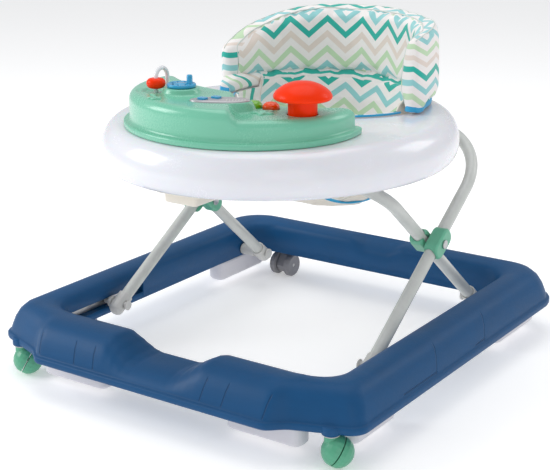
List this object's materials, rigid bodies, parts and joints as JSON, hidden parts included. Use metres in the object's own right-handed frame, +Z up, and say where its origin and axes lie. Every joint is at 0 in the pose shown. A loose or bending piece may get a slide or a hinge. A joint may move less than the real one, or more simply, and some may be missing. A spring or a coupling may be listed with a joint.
{
  "type": "baby walker",
  "caption": "Baby walker: blue wheeled base ring, grey scissor frame, white oval tray with a mint toy tray, chevron wrap-around seat.",
  "frame": {"origin": "centre of the whole walker's plan box, on the floor that the wheels stand on", "axes": "+Z up, +Y towards the seat back (the rear), -Y towards the toy tray (the front), +X towards the right as seen from in front"},
  "size_m": [0.64, 0.706, 0.5248],
  "materials": {
    "base_blue": "satin",
    "bright_steel": "satin",
    "pad_white": "matte",
    "caster_green": "satin",
    "light_grey_plastic": "satin",
    "caster_grey": "satin",
    "tube_paint": "satin",
    "tray_white": "gloss",
    "cream_plastic": "satin",
    "red_plastic": "satin",
    "mint_plastic": "gloss",
    "black_plastic": "matte",
    "orange_plastic": "gloss",
    "blue_plastic": "gloss",
    "silver_plastic": "satin",
    "lens_green_plastic": "gloss",
    "chevron_fabric": "matte",
    "plain_fabric": "matte"
  },
  "bodies": {
    "base": {"base_frame": "base_blue", "slide_strip_left": "bright_steel", "slide_strip_right": "bright_steel", "brake_pad_front_left": "pad_white", "brake_pad_front_right": "pad_white", "brake_pad_side_front_left": "pad_white", "brake_pad_side_front_right": "pad_white", "brake_pad_side_rear_left": "pad_white", "brake_pad_side_rear_right": "pad_white", "pivot_pin_left": "light_grey_plastic", "pivot_pin_right": "light_grey_plastic", "caster_collar_front_left": "light_grey_plastic", "caster_collar_front_right": "light_grey_plastic"},
    "front_caster_left": {"caster_hood_front_left": "caster_green", "caster_axle_front_left": "bright_steel"},
    "front_wheel_left": {"caster_wheel_front_left": "caster_green"},
    "front_caster_right": {"caster_hood_front_right": "caster_green", "caster_axle_front_right": "bright_steel"},
    "front_wheel_right": {"caster_wheel_front_right": "caster_green"},
    "rear_caster_left": {"caster_yoke_rear_left": "caster_grey"},
    "rear_wheel_left": {"caster_twin_wheel_rear_left": "caster_grey", "caster_axle_rear_left": "bright_steel"},
    "rear_caster_right": {"caster_yoke_rear_right": "caster_grey"},
    "rear_wheel_right": {"caster_twin_wheel_rear_right": "caster_grey", "caster_axle_rear_right": "bright_steel"},
    "inner_hoop": {"hoop_b": "tube_paint", "foot_cap_b_left": "light_grey_plastic", "foot_cap_b_right": "light_grey_plastic", "hub_cradle_left": "caster_green", "hub_cradle_right": "caster_green"},
    "outer_hoop": {"hoop_a": "tube_paint", "foot_cap_a_left": "light_grey_plastic", "foot_cap_a_right": "light_grey_plastic", "slide_pin_left": "light_grey_plastic", "slide_pin_right": "light_grey_plastic", "hub_clamp_left": "caster_green", "hub_clamp_right": "caster_green", "hub_rivet_left": "bright_steel", "hub_rivet_right": "bright_steel"},
    "tray": {"tray": "tray_white", "height_lock_housing": "cream_plastic", "height_guide": "cream_plastic", "rear_bracket_left": "cream_plastic", "rear_bracket_right": "cream_plastic", "seat_back_pad": "chevron_fabric", "seat_band": "chevron_fabric", "seat_sling_wall": "plain_fabric", "seat_sling": "plain_fabric"},
    "lock_lever": {"lock_lever": "red_plastic"},
    "toy_tray": {"toy_tray": "mint_plastic", "sound_module": "black_plastic", "toy_arch": "tray_white", "sound_panel": "silver_plastic", "lens_green": "lens_green_plastic", "lens_orange": "orange_plastic"},
    "mushroom_button": {"mushroom_button": "orange_plastic"},
    "dial": {"dial": "blue_plastic"},
    "bead": {"bead": "orange_plastic"},
    "panel_button_left": {"panel_button_left": "blue_plastic"},
    "panel_button_right": {"panel_button_right": "blue_plastic"}
  },
  "joints": [
    {"name": "front_swivel_left", "type": "hinge", "parent": "base", "child": "front_caster_left", "pos_m": [-0.278, -0.304, 0.045], "axis": [0, 0, 1], "continuous": true},
    {"name": "front_roll_left", "type": "hinge", "parent": "front_caster_left", "child": "front_wheel_left", "pos_m": [-0.2706, -0.299, 0.0225], "axis": [0.7176, 0.4849, -0.4999], "continuous": true},
    {"name": "front_swivel_right", "type": "hinge", "parent": "base", "child": "front_caster_right", "pos_m": [0.278, -0.304, 0.045], "axis": [0, 0, 1], "continuous": true},
    {"name": "front_roll_right", "type": "hinge", "parent": "front_caster_right", "child": "front_wheel_right", "pos_m": [0.2854, -0.299, 0.0225], "axis": [0.7176, 0.4849, -0.4999], "continuous": true},
    {"name": "rear_swivel_left", "type": "hinge", "parent": "base", "child": "rear_caster_left", "pos_m": [-0.208, 0.322, 0.045], "axis": [0, 0, 1], "continuous": true},
    {"name": "rear_roll_left", "type": "hinge", "parent": "rear_caster_left", "child": "rear_wheel_left", "pos_m": [-0.208, 0.313, 0.021], "axis": [1, 0, 0], "continuous": true},
    {"name": "rear_swivel_right", "type": "hinge", "parent": "base", "child": "rear_caster_right", "pos_m": [0.208, 0.322, 0.045], "axis": [0, 0, 1], "continuous": true},
    {"name": "rear_roll_right", "type": "hinge", "parent": "rear_caster_right", "child": "rear_wheel_right", "pos_m": [0.208, 0.313, 0.021], "axis": [1, 0, 0], "continuous": true},
    {"name": "fold", "type": "hinge", "parent": "base", "child": "inner_hoop", "pos_m": [0, 0.24, 0.062], "axis": [1, 0, 0], "range_deg": [0, 25]},
    {"name": "hub", "type": "hinge", "parent": "inner_hoop", "child": "outer_hoop", "pos_m": [0, 0.07607, 0.19956], "axis": [1, 0, 0], "range_deg": [-46.5, 0]},
    {"name": "tray_pivot", "type": "hinge", "parent": "outer_hoop", "child": "tray", "pos_m": [0, 0.2811, 0.3314], "axis": [1, 0, 0], "range_deg": [0, 19]},
    {"name": "lock_release", "type": "slide", "parent": "tray", "child": "lock_lever", "axis": [-1, 0, 0], "range_m": [0, 0.005], "stiffness_N_per_m": 300, "springref_m": -0.002},
    {"name": "toy_tray_lift", "type": "slide", "parent": "tray", "child": "toy_tray", "axis": [0, 0, 1], "range_m": [0, 0.03]},
    {"name": "mushroom_press", "type": "slide", "parent": "toy_tray", "child": "mushroom_button", "axis": [0, 0, -1], "range_m": [0, 0.004], "stiffness_N_per_m": 500, "springref_m": -0.003},
    {"name": "dial_turn", "type": "hinge", "parent": "toy_tray", "child": "dial", "pos_m": [-0.058, -0.177, 0.45], "axis": [0, 0, 1], "continuous": true},
    {"name": "bead_spin", "type": "hinge", "parent": "toy_tray", "child": "bead", "pos_m": [-0.098, -0.185, 0.4505], "axis": [0, 0, 1], "continuous": true},
    {"name": "panel_press_left", "type": "slide", "parent": "toy_tray", "child": "panel_button_left", "axis": [0, 0, -1], "range_m": [0, 0.002], "stiffness_N_per_m": 200, "springref_m": -0.001},
    {"name": "panel_press_right", "type": "slide", "parent": "toy_tray", "child": "panel_button_right", "axis": [0, 0, -1], "range_m": [0, 0.002], "stiffness_N_per_m": 200, "springref_m": -0.001}
  ],
  "couplings": [
    {"joint": "hub", "follows": "fold", "ratio": -1.84},
    {"joint": "tray_pivot", "follows": "fold", "ratio": 0.7456}
  ]
}
